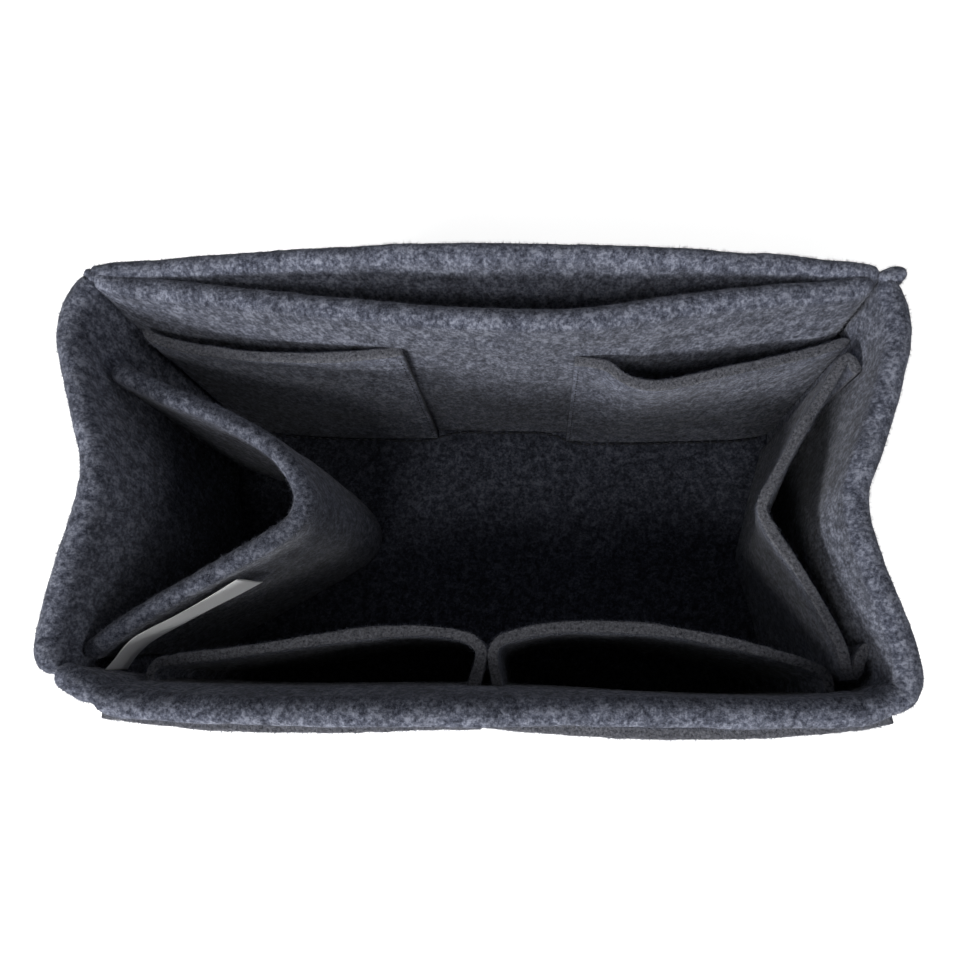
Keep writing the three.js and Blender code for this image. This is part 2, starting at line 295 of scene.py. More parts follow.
def piece(name, points, faces, finish, marked=None, normals=None):
    """A named mesh object at the origin from points in mm, smooth, its faces turned outwards as one closed
    shell: they are turned round where the volume under them comes out negative. Marked faces take the
    second material of the finish. Given normals keep the shading even where a strip is split."""
    a, b, c = (points[faces[:, i]] for i in range(3))
    d = points[faces[:, -1]]
    volume = (np.einsum("ij,ij->i", a, np.cross(b, c)) + np.einsum("ij,ij->i", a, np.cross(c, d))).sum()
    if volume < 0:
        faces = faces[:, ::-1]
    mesh = bpy.data.meshes.new(name)
    mesh.from_pydata((points * MM).tolist(), [], faces.tolist())
    for m in materials(*finish):
        mesh.materials.append(m)
    if marked is not None and len(finish) > 1:
        mesh.polygons.foreach_set("material_index", np.asarray(marked, np.int32))
    mesh.polygons.foreach_set("use_smooth", np.ones(len(mesh.polygons), bool))
    mesh.update()
    if normals is not None:
        mesh.normals_split_custom_set_from_vertices(normals.reshape(-1, 3).tolist())
    obj = bpy.data.objects.new(name, mesh)
    bpy.context.scene.collection.objects.link(obj)
    return obj


def stitches(name, path, outward, reach=0.38, heavy=1.0):
    """A row of lockstitches along a path on the felt, as spindles half sunk in it: rings of six points
    whose radius goes as the square root of a parabola from end to end, and whose ends dip into the felt as
    a parabola. Each reaches a share of the stitch length both ways, and a heavy seam has a wider thread."""
    felt = bpy.context.scene.organizer_felt
    # The row starts a margin from the path's end. Its direction is taken a little ahead. All but blunt in mm.
    margin, ahead, dip, blunt = 4.0, 0.1, 0.25, 0.004
    rings, sides = 5, 6
    run = walked(path)
    middle = np.arange(margin, run[-1] - margin, felt.stitch)
    at, lead, away = (
        np.stack([np.interp(middle + d, run, source[:, i]) for i in range(3)], axis=-1)
        for d, source in ((0, path), (ahead, path), (0, outward))
    )
    lead = (lead - at) / np.linalg.norm(lead - at, axis=1, keepdims=True)
    away = away / np.linalg.norm(away, axis=1, keepdims=True)
    across = np.cross(lead, away)
    t = np.linspace(-1, 1, rings)
    turn = np.arange(sides) * math.tau / sides
    radius = heavy * felt.thread_width / 2 * np.sqrt(np.maximum(1 - t**2, blunt))
    up = radius[:, None] * np.sin(turn) - dip * (t**2)[:, None]
    p = (
        at[:, None, None]
        + t[:, None, None] * reach * felt.stitch * lead[:, None, None]
        + (radius[:, None] * np.cos(turn))[..., None] * across[:, None, None]
        + up[..., None] * away[:, None, None]
    )
    faces, _ = panel_faces(rings, sides)
    faces = (faces[None] + rings * sides * np.arange(len(middle))[:, None, None]).reshape(-1, 4)
    return piece(name, p.reshape(-1, 3), faces, THREAD)


def loose_fibres(name, p, seed):
    """Fibres that stand off the felt near its rim: three-sided needles at random spots of the grid's top
    part, even over its area. Each leans a random way from the outward direction, and its base is sunk in
    the felt."""
    felt = bpy.context.scene.organizer_felt
    # Shares of the outward way and of the lean, the sunk depth in mm, and shares of the width and the length
    straight, lean_share, sunk = (0.4, 1.1), 0.8, 0.15
    widths, lengths, shortness = (0.6, 1.2), (0.35, 1.0), 1.6
    rng = np.random.default_rng(seed)
    near = p[:-1, :, 2] > p[:-1, :, 2].max(axis=1, keepdims=True) - felt.fuzz_band
    i, k = np.nonzero(near)
    corner, right, up = p[i, k], p[i + 1, k], p[i, (k + 1) % p.shape[1]]
    area = np.linalg.norm(np.cross(right - corner, up - corner), axis=1)
    count = int(area.sum() * felt.fuzz)
    pick = rng.choice(len(i), count, p=area / area.sum())
    u, v = rng.random((2, count, 1))
    place = corner[pick] + u * (right - corner)[pick] + v * (up - corner)[pick]
    out = grid_normals(p)[i, k][pick]
    lean = rng.normal(size=(count, 3))
    lean = lean_share * lean / np.linalg.norm(lean, axis=1, keepdims=True)
    way = out * rng.uniform(*straight, (count, 1)) + lean
    way /= np.linalg.norm(way, axis=1, keepdims=True)
    across = np.cross(way, out)
    across /= np.maximum(np.linalg.norm(across, axis=1, keepdims=True), 1e-6)
    other = np.cross(way, across)
    turn = np.arange(3) * math.tau / 3
    width = felt.fibre_width / 2 * rng.uniform(*widths, (count, 1, 1))
    base = np.cos(turn)[:, None] * across[:, None] + np.sin(turn)[:, None] * other[:, None]
    base = (place - sunk * out)[:, None] + width * base
    tip = place + way * felt.fibre * rng.uniform(*lengths, (count, 1)) ** shortness
    points = np.concatenate([base, tip[:, None]], axis=1)
    needle = np.array([(0, 1, 3), (1, 2, 3), (2, 0, 3), (2, 1, 0)])
    faces = (needle[None] + 4 * np.arange(count)[:, None, None]).reshape(-1, 3)
    return piece(name, points.reshape(-1, 3), faces, FIBRES)


def felt_strip(name, fibres, p, cut, finish, seed, normals=None):
    """The felt of a panel's grid and its loose fibres, as two objects."""
    faces, marked = panel_faces(p.shape[0], p.shape[1], cut)
    felt = piece(name, p.reshape(-1, 3), faces, finish, marked, normals)
    return felt, loose_fibres(fibres, p, seed)


def panel_piece(name, slot, finish, body, *shape, sewn=None, heavy=1.0, flatten=None, seed=1, **more):
    """A standing felt panel with its loose fibres, as pieces riding their body. The record slot is not used.
    Where it is sewn, a row of stitches goes up each end of its outer (1) or inner (-1) face. Each piece of a
    pocket that is given a flatten gets a mesh of its own."""
    p, cut = standing_panel(*shape, seed=seed, **more)
    pieces = [*felt_strip(name, f"{name}_fibres", p, cut, finish, seed)]
    if sewn:
        # The seam stops a millimetre below the rim.
        rows = int(np.argmax(p[0, :, 2] > p[0, :, 2].max() - 1.0))
        way = slice(0, rows) if sewn > 0 else slice(-1, -1 - rows, -1)
        normals = grid_normals(p)
        for end, column in (("left", 1), ("right", -2)):
            pieces.append(stitches(f"{name}_{end}_seam", p[column, way], normals[column, way], heavy=heavy))
    for obj in pieces:
        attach(obj, body)
        if flatten:
            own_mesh(obj)
    return pieces[0]


# Materials

# A wave texture of scale 1 repeats after this length.
WAVE_LENGTH = math.tau / 20
# Settings of a node that mixes colours, and of one that multiplies them
MIXED = {"data_type": "RGBA"}
MULTIPLIED = {"data_type": "RGBA", "blend_type": "MULTIPLY"}


def add_node(tree, kind, settings=None, **inputs):
    """Adds a node, sets its properties, and sets or links its inputs. An input given a socket is linked to
    it. An input's name has _ for a space, and i_ with a number picks an input by its place."""
    node = tree.nodes.new(kind)
    for name, value in (settings or {}).items():
        setattr(node, name, value)
    for name, value in inputs.items():
        key = int(name[2:]) if name.startswith("i_") else name.replace("_", " ")
        if isinstance(value, bpy.types.NodeSocket):
            tree.links.new(value, node.inputs[key])
        else:
            node.inputs[key].default_value = value
    return node


def new_material(name, maker, *values):
    """A node material. Its maker adds nodes to the tree and returns the shader."""
    m = bpy.data.materials.new(name)
    m.use_nodes = True
    tree = m.node_tree
    tree.nodes.clear()
    shader = maker(tree, *values)
    add_node(tree, "ShaderNodeOutputMaterial", Surface=shader.outputs[0])
    return m


def dimmed(shade, share):
    """A linear colour at a share of its brightness."""
    return [c * share for c in shade[:3]] + [1.0]


def wool_felt(tree, painted_light_share, shift):
    """Wool and polyester felt, needled from dark, blue-grey and pale fibres: the eye sees salt-and-pepper
    speckle about a millimetre wide, short pale hairs, cloudy patches, no gloss and a soft rim of light on
    its nap. The pattern is shifted for each kind of panel, so that panels that meet don't share it."""
    felt = bpy.context.scene.organizer_felt
    spot = 1 / (felt.speckle * MM)
    place = add_node(tree, "ShaderNodeTexCoord").outputs["Object"]
    # Fibres run more up the panels than across, so the pattern is drawn longer in height.
    moved = (shift, 2 * shift, 3 * shift)
    at = add_node(tree, "ShaderNodeMapping", Vector=place, Location=moved, Scale=(1, 1, 0.55)).outputs[0]
    # Each pattern's fineness against the speckle, detail, roughness and distortion
    patterns = (
        (1.0, 2.5, 0.7, 0.0),
        (0.36, 2.0, 0.6, 0.0),
        (0.7, 3.0, 0.7, 0.5),
        (0.1, 3.0, 0.6, 0.0),
    )
    specks, clumps, hairs, clouds = (
        add_node(tree, "ShaderNodeTexNoise", Vector=at, Scale=fine * spot, Detail=detail,
                 Roughness=rough, Distortion=bend).outputs["Fac"]
        for fine, detail, rough, bend in patterns
    )
    both = add_node(tree, "ShaderNodeMix", i_0=0.42, i_2=specks, i_3=clumps).outputs[0]
    tone = add_node(tree, "ShaderNodeValToRGB", Fac=both)
    tone.color_ramp.elements.new(0.5)
    # Each colour is scaled by the painted light share: above one it paints light on, below one it paints
    # shade.
    stops = ((0.38, felt.shade), (0.50, felt.body), (0.62, felt.light))
    for element, (where, shade) in zip(tone.color_ramp.elements, stops):
        element.position = where
        element.color = dimmed(shade, painted_light_share)
    streak = add_node(tree, "ShaderNodeMapRange", Value=hairs, From_Min=0.55, From_Max=0.7, To_Max=0.5)
    mixed = add_node(tree, "ShaderNodeMix", MIXED, i_0=streak.outputs[0], i_6=tone.outputs[0],
                     i_7=dimmed(felt.light, painted_light_share))
    patch = add_node(tree, "ShaderNodeMapRange", Value=clouds, From_Min=0.3, From_Max=0.7, To_Min=0.78,
                     To_Max=1.14)
    shaded = add_node(tree, "ShaderNodeMix", MULTIPLIED, i_0=1.0, i_6=mixed.outputs[2], i_7=patch.outputs[0])
    nap = add_node(tree, "ShaderNodeMath", {"operation": "ADD"}, i_0=both, i_1=hairs)
    bump = add_node(tree, "ShaderNodeBump", Height=nap.outputs[0], Strength=0.6, Distance=0.4 * MM)
    return add_node(tree, "ShaderNodeBsdfPrincipled", Base_Color=shaded.outputs[2], Normal=bump.outputs[0],
                    Roughness=0.95, Specular_IOR_Level=0.15, Sheen_Weight=0.12, Sheen_Roughness=0.5)


def cut_felt(tree, painted_light_share):
    """The raw cut edge of felt: the fibres end there, so it is darker and greyer, with a fine grain."""
    felt = bpy.context.scene.organizer_felt
    spot = 1 / (0.8 * felt.speckle * MM)
    place = add_node(tree, "ShaderNodeTexCoord").outputs["Object"]
    grain = add_node(tree, "ShaderNodeTexNoise", Vector=place, Scale=spot, Detail=3.0, Roughness=0.7,
                     Distortion=0.4).outputs["Fac"]
    tone = add_node(tree, "ShaderNodeValToRGB", Fac=grain)
    # Each colour is scaled by the painted light share: above one it paints light on, below one it paints
    # shade.
    for element, where, shade in zip(tone.color_ramp.elements, (0.3, 0.72), (felt.cut_dark, felt.cut_pale)):
        element.position = where
        element.color = dimmed(shade, painted_light_share)
    bump = add_node(tree, "ShaderNodeBump", Height=grain, Strength=0.8, Distance=0.4 * MM)
    return add_node(tree, "ShaderNodeBsdfPrincipled", Base_Color=tone.outputs[0], Normal=bump.outputs[0],
                    Roughness=1.0, Specular_IOR_Level=0.1)


def label_satin(tree):
    """Woven polyester satin: floats of bright thread in ribs along the label give fine streaks and a silky
    gloss. Real ribs are about 0.3 mm apart, and these are drawn wider so that they show."""
    felt = bpy.context.scene.organizer_felt
    rib = 0.8
    along = add_node(tree, "ShaderNodeUVMap", {"uv_map": "weave"}).outputs[0]
    ribs = add_node(tree, "ShaderNodeTexWave", {"bands_direction": "Y"}, Vector=along,
                    Scale=WAVE_LENGTH / rib, Distortion=1.6, Detail=2.0, Detail_Scale=1.5).outputs["Fac"]
    tone = add_node(tree, "ShaderNodeMapRange", Value=ribs, To_Min=0.9, To_Max=1.0)
    ribbed = add_node(tree, "ShaderNodeMix", MULTIPLIED, i_0=1.0, i_6=list(felt.satin), i_7=tone.outputs[0])
    bump = add_node(tree, "ShaderNodeBump", Height=ribs, Strength=0.25, Distance=0.05 * MM)
    return add_node(tree, "ShaderNodeBsdfPrincipled", Base_Color=ribbed.outputs[2], Normal=bump.outputs[0],
                    Roughness=0.55, Specular_IOR_Level=1.0, Sheen_Weight=1.0, Sheen_Roughness=0.55)


def polyester_thread(tree):
    """Spun polyester sewing thread: twisted plies show as slanting ridges 0.19 mm apart with a dull gleam."""
    felt = bpy.context.scene.organizer_felt
    ridge = 0.1885
    place = add_node(tree, "ShaderNodeTexCoord").outputs["Object"]
    twist = add_node(tree, "ShaderNodeTexWave", {"bands_direction": "DIAGONAL"}, Vector=place,
                     Scale=WAVE_LENGTH / (ridge * MM), Distortion=0.5).outputs["Fac"]
    dark, pale = (dimmed(felt.thread, share) for share in (0.6, 1.25))
    tone = add_node(tree, "ShaderNodeMix", MIXED, i_0=twist, i_6=dark, i_7=pale)
    return add_node(tree, "ShaderNodeBsdfPrincipled", Base_Color=tone.outputs[2], Roughness=0.6)


def loose_fibre(tree):
    """Loose wool fibres that stand off the felt: single hairs are too fine to show, so each is drawn as a
    tuft. They catch the light, so rims look soft and a little paler than the felt. Their tone changes every
    1.5 mm or so."""
    felt = bpy.context.scene.organizer_felt
    spot = 1 / (1.5 * MM)
    place = add_node(tree, "ShaderNodeTexCoord").outputs["Object"]
    each = add_node(tree, "ShaderNodeTexNoise", Vector=place, Scale=spot, Detail=2.0).outputs["Fac"]
    mixed = add_node(tree, "ShaderNodeMix", MIXED, i_0=each, i_6=list(felt.shade), i_7=list(felt.light))
    return add_node(tree, "ShaderNodeBsdfPrincipled", Base_Color=mixed.outputs[2], Roughness=0.9,
                    Specular_IOR_Level=0.15)


def white_floor(tree):
    """Matt white paper. To the camera it also glows, so that it shows as pure white."""
    glow = 0.84
    white = list(bpy.context.scene.organizer_stage.floor)
    seen = add_node(tree, "ShaderNodeLightPath").outputs["Is Camera Ray"]
    glows = add_node(tree, "ShaderNodeMath", {"operation": "MULTIPLY"}, i_0=seen, i_1=glow)
    return add_node(tree, "ShaderNodeBsdfPrincipled", Base_Color=white, Roughness=1.0,
                    Emission_Color=(1, 1, 1, 1), Emission_Strength=glows.outputs[0])


# Each material's maker, and for felt its brightness and, on faces, the shift of its pattern in metres. The
# brightness paints light and shade: above one a piece's felt is painted lighter, as lit, and below one
# darker, as shaded.
MAKERS = {
    "wool_felt_walls": (wool_felt, 1.0, 0.0),
    # Painted light: the pockets are a lighter copy of the felt, as if lit.
    "wool_felt_pockets": (wool_felt, 1.14, 0.031),
    # Painted shade: the dividers are a darker copy of the felt, as if shaded.
    "wool_felt_dividers": (wool_felt, 0.72, 0.057),
    # Painted shade: the base is a darker copy of the felt, as if in the box's shadow.
    "wool_felt_base": (wool_felt, 0.55, 0.083),
    "cut_felt_edge": (cut_felt, 1.0),
    # Painted light: the front pockets' cut edges are a lighter copy of the cut edge, as if lit from above.
    "cut_felt_front_pockets": (cut_felt, 1.15),
    "label_satin": (label_satin,),
    "polyester_thread": (polyester_thread,),
    "loose_wool_fibres": (loose_fibre,),
}

# Finishes of the pieces: the felt's face and, where the panel has one, its raw cut edge
WALL_FELT = ("wool_felt_walls",)
BASE_FELT = ("wool_felt_base",)
POCKET_FELT = ("wool_felt_pockets", "cut_felt_edge")
FRONT_POCKET_FELT = ("wool_felt_pockets", "cut_felt_front_pockets")
DIVIDER_FELT = ("wool_felt_dividers", "cut_felt_edge")
SATIN = ("label_satin",)
THREAD = ("polyester_thread",)
FIBRES = ("loose_wool_fibres",)


def materials(*names):
    """The shared materials by name, made when they are first asked for."""
    return [bpy.data.materials.get(name) or new_material(name, *MAKERS[name]) for name in names]


# Plan lines read as middle lines of the felt, in mm, from left to right or from rear to front

REAR_RIM = [
    (-105.2, 57.4), (-98, 55.4), (-89, 54.6), (-75, 53.0), (-58, 51.0), (-40, 49.2), (-3, 46.2), (27, 46.2),
    (53, 50.1), (76, 52.8), (96, 54.7), (101.2, 56.2),
]
REAR_FOOT = [(-104.5, 53.8), (-86, 52.2), (-11, 51.2), (44, 51.0), (80, 52.2), (102.2, 53.6)]
REAR_OUTER_RIM = [
    (-106.4, 58.2), (-98, 59.2), (-76, 61.0), (-49, 63.2), (-22, 64.5), (1, 64.6), (31, 64.4), (62, 62.5),
    (95, 59.4), (103.2, 58.1),
]
REAR_OUTER_FOOT = [(-105, 56.2), (-50, 56.8), (0, 57.0), (50, 56.8), (105, 56.2)]
REAR_FLOOR_SEAM = [
    (-98, 47.2), (-86, 45.7), (-72, 44.8), (-46, 44.2), (-26, 44.6), (-19, 46.8), (0, 47.3), (21, 46.6),
    (28, 44.0), (45, 43.5), (70, 44.3), (97, 46.3), (101, 47.4),
]
LEFT_EAR = [(-104.4, 56.6), (-105.6, 57.6), (-106.6, 58.4), (-107.4, 59.0)]
LEFT_EAR_FOOT = [(-103.6, 54.4), (-104.4, 55.2), (-105.0, 55.8), (-105.6, 56.4)]
RIGHT_EAR = [(103.4, 56.6), (105.4, 57.8), (107.6, 58.5), (109.8, 58.2)]
RIGHT_EAR_FOOT = [(103.4, 54.4), (104.2, 55.0), (105.2, 55.6), (106.2, 56.0)]
LEFT_REAR_POCKET = [
    (-99.2, 50.4), (-96.4, 48.4), (-88, 45.8), (-76, 43.7), (-57, 42.4), (-44, 42.5), (-32, 43.4),
    (-27, 44.0), (-23.5, 44.7),
]
LEFT_REAR_POCKET_FOOT = [(-99, 49.2), (-72, 46.8), (-46, 46.2), (-23.5, 46.5)]
RIGHT_REAR_POCKET = [
    (25.6, 43.0), (30, 42.5), (34.4, 41.6), (39.7, 37.7), (46.7, 35.8), (56.6, 37.2), (66.4, 39.6),
    (83.2, 43.6), (97.4, 47.6), (102.6, 49.6),
]
RIGHT_REAR_POCKET_FOOT = [(25.6, 45.9), (45, 45.5), (70, 46.2), (97, 48.2), (102.4, 49.4)]
LEFT_SIDE_RIM = [
    (-105.2, 57.6), (-107.9, 54.4), (-110.3, 49.2), (-110.9, 41), (-108.7, 32.3), (-104.7, 20),
    (-101.3, 10.2), (-100.3, 3.6), (-100.8, -2.6), (-102.1, -8.8), (-103.7, -15.8), (-105.7, -25.8),
    (-107.0, -34.8), (-107.4, -40.2), (-107.0, -43.4), (-105.6, -45.2), (-104.2, -45.8),
]
LEFT_SIDE_FOOT = [
    (-104.0, 53.5), (-104.4, 48), (-102.8, 25), (-99.8, 4), (-99.8, -2), (-102.8, -25), (-104.4, -45),
    (-102, -49), (-98.5, -50),
]
RIGHT_SIDE_RIM = [
    (103.8, 56.8), (106.1, 53.2), (107.5, 46.8), (107.3, 40.4), (105.3, 32.7), (102.0, 21.7), (97.7, 10.2),
    (94.6, 1.0), (94.5, -3.7), (96.1, -11.4), (98.6, -20), (102.2, -30.6), (104.6, -39.8), (105.0, -44.2),
    (103.8, -47.8), (101.2, -50.6),
]
RIGHT_SIDE_FOOT = [
    (104.0, 53.5), (104.4, 48), (101.6, 25), (97.6, 3), (97.6, -3), (101.6, -25), (104.4, -46),
    (102.6, -50),
]
FRONT_RIM = [
    (-104.0, -46.7), (-101.0, -48.5), (-97.0, -50.8), (-93.4, -53.0), (-88.8, -55.0), (-80, -55.9),
    (-60, -56.3), (-41, -56.3), (7, -55.2), (29, -54.4), (57, -53.7), (85, -53.0), (95, -51.9),
    (101.2, -49.6), (104.4, -46.2),
]
FRONT_FOOT = [(-104, -49.8), (-97, -50.5), (0, -50.5), (97, -50.5), (104, -49.6)]
LEFT_DIVIDER = [
    (-103, 35.6), (-95.5, 32.2), (-89, 29.2), (-69, 21.0), (-56, 13.0), (-49.6, 5.6), (-47.4, 0.6),
    (-49, -6.0), (-56, -12.0), (-64.6, -17.3), (-80.6, -27.0), (-92.3, -34.4), (-98, -38.8),
    (-102.6, -42.8),
]
LEFT_DIVIDER_FOOT = [
    (-103, 36.0), (-95.2, 33.8), (-88.4, 31.6), (-68.2, 25.6), (-55.2, 18.8), (-48.4, 12.0), (-46.2, 7.2),
    (-47.8, 0.6), (-55.4, -5.6), (-64.6, -11.2), (-80.8, -20.8), (-92.5, -27.5), (-98, -33.0),
    (-102.6, -38.4),
]
LEFT_DIVIDER_FOLD = (-47.4, 0.6)
# At each end the right divider turns back on itself, and this short flap is sewn to the side wall.
RIGHT_DIVIDER = [
    (101.8, 37.4), (101.0, 40.2), (99.4, 41.8), (98.0, 40.6), (95.8, 36.8), (92.4, 31.2), (87.4, 23.4),
    (79.2, 8.6), (75.9, 2.6), (75.1, 0.4), (75.6, -2.2), (77.2, -5.6), (84.9, -17.9), (91.6, -30.6),
    (94.4, -37.5), (95.1, -41), (96.3, -43.6), (97.8, -42.9), (98.5, -40.4), (99.6, -37.8), (101.4, -35.4),
]
RIGHT_DIVIDER_FOLD = (75.1, 0.4)
# The right divider leans in: its foot reaches into the box by a smaller share than its top.
FOOT_REACH = 0.45
RIGHT_DIVIDER_FOOT = [(RIGHT_DIVIDER[0][0] * (1 - FOOT_REACH) + x * FOOT_REACH, y) for x, y in RIGHT_DIVIDER]
LEFT_FRONT_POCKET = [
    (-89.0, -49.9), (-88.9, -46.6), (-87.4, -44.4), (-83, -43.4), (-73, -42), (-56, -39.3), (-40, -36.5),
    (-24, -34.4), (-14, -34.1), (-6, -34.9), (-1.2, -36.6), (0.9, -39.2), (0.5, -43), (-0.6, -46.8),
    (-1.1, -50.4),
]
RIGHT_FRONT_POCKET = [
    (5.6, -50.4), (5.2, -46.8), (4.4, -43), (4.1, -39.2), (5.6, -36.6), (10, -34.7), (22, -32.4), (34, -32),
    (46, -32.4), (62, -34.7), (77, -38), (88, -41.4), (91.4, -43.2), (92.3, -45.6), (92.2, -48.6),
]
LEFT_OUTER_POCKET = [(-95.6, -57.4), (-75, -59.2), (-36, -59.5), (-9.5, -58.1), (2.0, -57.3)]
RIGHT_OUTER_POCKET = [
    (2.9, -57.3), (12, -57.8), (33, -58.8), (59, -58.7), (81, -57.2), (95, -55.5), (103.6, -53.6),
]
OUTER_POCKET_FOOT_Y = -57.4
LABEL_UPPER = [
    (-98.0, -46.4), (-96.0, -44.0), (-94.0, -41.0), (-91.4, -38.2), (-87.2, -35.6), (-81.3, -32.5),
    (-75.3, -29.0), (-69.4, -25.3), (-64.4, -22.0),
]
LABEL_LOWER = [
    (-101.2, -46.0), (-99.0, -42.4), (-95.6, -38.7), (-93.0, -36.8), (-89.2, -34.6), (-82.8, -30.9),
    (-76.3, -27.3), (-70.1, -24.0), (-63.6, -20.3),
]


# Operators


class ORGANIZER_OT_base(bpy.types.Operator):
    """The base: a felt panel with rounded corners"""

    bl_idname = "organizer.base"
    bl_label = "Base panel"

    # Points round the edge, and rings on the underside and on the top
    around = 380
    under = 10
    over = 56
    # The share of its depth that is left when the insert is folded
    keep = 0.76

    def execute(self, context):
        # Rings of one rounded rectangle: out along the underside, up the edge, and back in along the top.
        turn = np.linspace(0, math.pi / 2, 12)
        arc = np.stack([np.cos(turn), np.sin(turn)], axis=-1)
        quarter = BASE_CORNER * arc + np.array(BASE_HALF) - BASE_CORNER
        right = np.r_[quarter, quarter[::-1] * (-1, 1)]
        edge = even_steps(np.r_[right, -right, right[:1]], self.around, endpoint=False)
        # Each ring has its share of the outline and its height, and those of the edge round it off.
        out, back = np.linspace(0.02, 0.985, self.under), np.linspace(0.988, 0.02, self.over)
        share = np.r_[out, 0.993, 0.996, 0.996, 0.993, back]
        z = np.r_[np.zeros(self.under), 0.5, 1.2, PLY - 1.2, PLY - 0.4, np.full(self.over, PLY)]
        count = len(z)
        level = np.broadcast_to(z[:, None, None], (count, self.around, 1))
        p = np.concatenate([share[:, None, None] * edge, level], axis=-1)
        # The top is sunk by 0.2 mm and uneven, with lumps 9 mm wide. It stays below the feet of the panels.
        top = p[-self.over :]
        bumps = 0.35 * soft_noise(top, 9.0, 5) + 0.15 * soft_noise(top, TUFT_WIDTH, 6) - 0.2
        top[..., 2] = np.minimum(top[..., 2] + bumps, PLY + 0.15)
        faces, _ = panel_faces(count, self.around)
        obj = piece("base_felt", p.reshape(-1, 3), faces, BASE_FELT)
        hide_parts("base_panel")
        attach(obj, ROOT)
        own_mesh(obj)
        return {"FINISHED"}


class ORGANIZER_OT_rear_wall(bpy.types.Operator):
    """The rear wall of double felt, bowed into the box, and the pocket panel over the whole back"""

    bl_idname = "organizer.rear_wall"
    bl_label = "Rear wall"

    # Width of the seams' thread against other seams, and points along the seam on the floor
    heavy = 2.4
    seam_points = 200

    def execute(self, context):
        wall = panel_piece("rear_wall_felt", "felt_wall", WALL_FELT, ROOT, REAR_RIM, REAR_FOOT, HEIGHT, PLY,
                           power=1.3, ends=(5, 5), thin=(0.4, 0.4), puff=0.06, seed=11, sewn=-1,
                           heavy=self.heavy)
        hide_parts("rear_wall")
        # The seam that holds the rear wall and its pockets to the base, on the floor in front of them.
        line = smooth_line(REAR_FLOOR_SEAM, self.seam_points)
        path = np.concatenate([line, np.full((self.seam_points, 1), PLY + 0.1)], axis=1)
        upwards = np.broadcast_to((0.0, 0.0, 1.0), path.shape)
        seam = stitches("rear_floor_seam", path, upwards, reach=0.52, heavy=self.heavy)
        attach(seam, ROOT)
        pocket = panel_piece("rear_outer_pocket_felt", "felt_pocket", POCKET_FELT, ROOT, REAR_OUTER_RIM,
                             REAR_OUTER_FOOT, HEIGHT, PLY * 0.96, power=1.2, ends=(2.5, 4), thin=(0.55, 0.4),
                             seed=21, sewn=1)
        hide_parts("rear_outer_pocket")
        # The felt left over at the corner seams stands out as an ear, thicker on the right.
        for side, rim, foot, half, ends, thin, seed in (
            ("left", LEFT_EAR, LEFT_EAR_FOOT, 1.5, (1.2, 1.2), (0.5, 0.3), 12),
            ("right", RIGHT_EAR, RIGHT_EAR_FOOT, 2.1, (1.6, 2.4), (0.5, 0.25), 13),
        ):
            panel_piece(f"{side}_rear_seam_ear", "felt_wall", WALL_FELT, ROOT, rim, foot, HEIGHT, half,
                        ends=ends, thin=thin, seed=seed)
        return {"FINISHED"}


class ORGANIZER_OT_rear_inner_pockets(bpy.types.Operator):
    """The two slip pockets on the rear wall's inner face, with raw cut mouths that gape"""

    bl_idname = "organizer.rear_inner_pockets"
    bl_label = "Rear inner pockets"

    # The plane across y, in mm, and the share of the gape that is left there when the insert is folded
    flatten = (46.5, 0.4)

    def execute(self, context):
        sides = (
            ("left", LEFT_REAR_POCKET, LEFT_REAR_POCKET_FOOT, REAR_POCKET_TOP, (2.6, 0), 31),
            ("right", RIGHT_REAR_POCKET, RIGHT_REAR_POCKET_FOOT, RIGHT_POCKET_TOP, (0, 2.6), 41),
        )
        for side, rim, foot, top, ends, seed in sides:
            obj = panel_piece(f"rear_{side}_inner_pocket_felt", "felt_pocket", POCKET_FELT, ROOT, rim, foot,
                              top, PLY / 2, rounded=False, power=1.6, ends=ends, thin=(0.3, 0.3), seed=seed,
                              sewn=-1, flatten=self.flatten)
            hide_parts(f"rear_{side}_inner_pocket")
        return {"FINISHED"}


class ORGANIZER_OT_side_walls(bpy.types.Operator):
    """The two side walls of double felt. Each is one strip, made in two pieces that meet where it is stiff:
    one at the rear corner and one along the crease"""

    bl_idname = "organizer.side_walls"
    bl_label = "Side walls"

    # Where the two pieces meet across y, in mm, and the spans across y of the rear corner and of the crease,
    # in metres
    meet = 24.0
    corner_bend = (0.057, 0.034)
    crease_bend = (0.009, -0.009)

    def execute(self, context):
        sides = (("left", LEFT_SIDE_RIM, LEFT_SIDE_FOOT, 51), ("right", RIGHT_SIDE_RIM, RIGHT_SIDE_FOOT, 61))
        for side, rim, foot, seed in sides:
            p, cut = standing_panel(rim, foot, HEIGHT, PLY * 1.1, power=1.4, ends=(5, 3.2), thin=(0.4, 0.15),
                                    puff=0.05, seed=seed)
            normals = grid_normals(p)
            row = int(np.argmin(np.abs(p[:, 0, 1] - self.meet)))
            parts = []
            for name, rows in (("corner", slice(0, row + 1)), ("wall", slice(row, None))):
                strip = f"{side}_side_{name}"
                parts.append(felt_strip(f"{strip}_felt", f"{strip}_fibres", p[rows], cut, WALL_FELT,
                                        seed + len(parts), normals[rows]))
            corner, wall = parts
            rear, front = f"{side}_side_rear_half", f"{side}_side_front_half"
            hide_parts(rear, front)
            for objects, bodies, (start, end) in (
                (corner, (ROOT, rear), self.corner_bend),
                (wall, (rear, front), self.crease_bend),
            ):
                for obj in objects:
                    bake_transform(obj)
        return {"FINISHED"}


